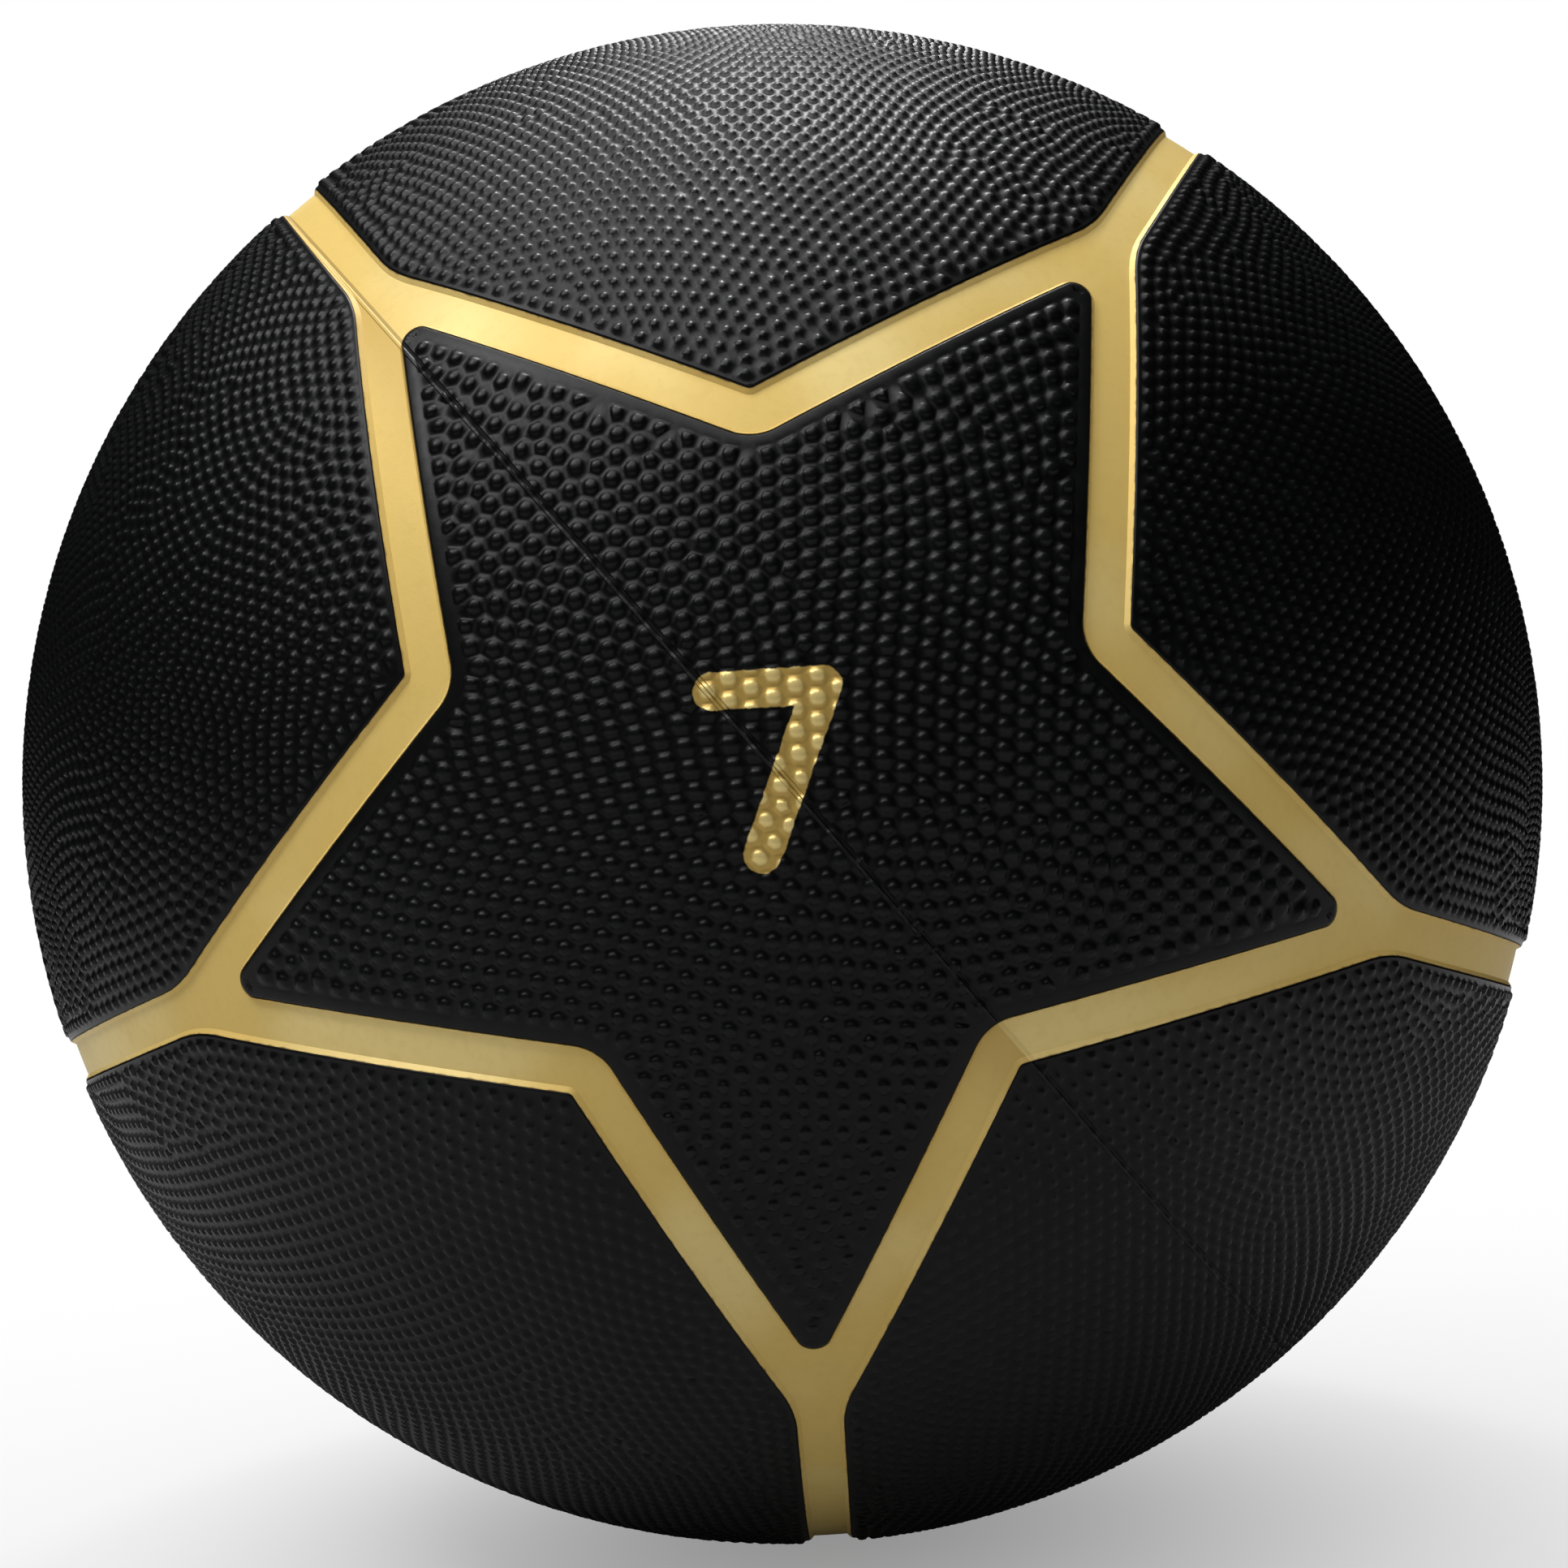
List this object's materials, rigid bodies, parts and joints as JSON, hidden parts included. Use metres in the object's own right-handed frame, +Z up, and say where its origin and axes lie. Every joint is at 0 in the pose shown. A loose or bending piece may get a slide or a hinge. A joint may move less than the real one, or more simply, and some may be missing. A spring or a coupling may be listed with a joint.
{
  "type": "basketball",
  "caption": "Inflatable moulded rubber basketball: pebbled black panels, a star on two sides, and recessed gold channels between them.",
  "frame": {"origin": "centre of the ball", "axes": "+Z up; +Y out through the middle of the back star, where the valve is; the front star faces -Y; one tip of each star points to -Z"},
  "size_m": [0.24, 0.2399, 0.2396],
  "materials": {
    "panel_rubber": "moulded black rubber with fine round pebbles, satin",
    "channel_gold": "smooth rubber channel with satin gold paint",
    "carcass_rubber": "matt dark rubber",
    "nylon_thread": "wound off-white thread",
    "butyl_rubber": "smooth black butyl",
    "stem_rubber": "smooth black rubber",
    "plug_rubber": "smooth dark rubber"
  },
  "bodies": {
    "root": {"front_star_panel": "panel_rubber", "back_star_panel": "panel_rubber", "side_panel_1": "panel_rubber", "side_panel_2": "panel_rubber", "side_panel_3": "panel_rubber", "side_panel_4": "panel_rubber", "side_panel_5": "panel_rubber", "channel_net": "channel_gold", "carcass": "carcass_rubber", "thread_winding": "nylon_thread", "bladder": "butyl_rubber", "valve_housing": "stem_rubber", "valve_plug": "plug_rubber"}
  },
  "joints": []
}
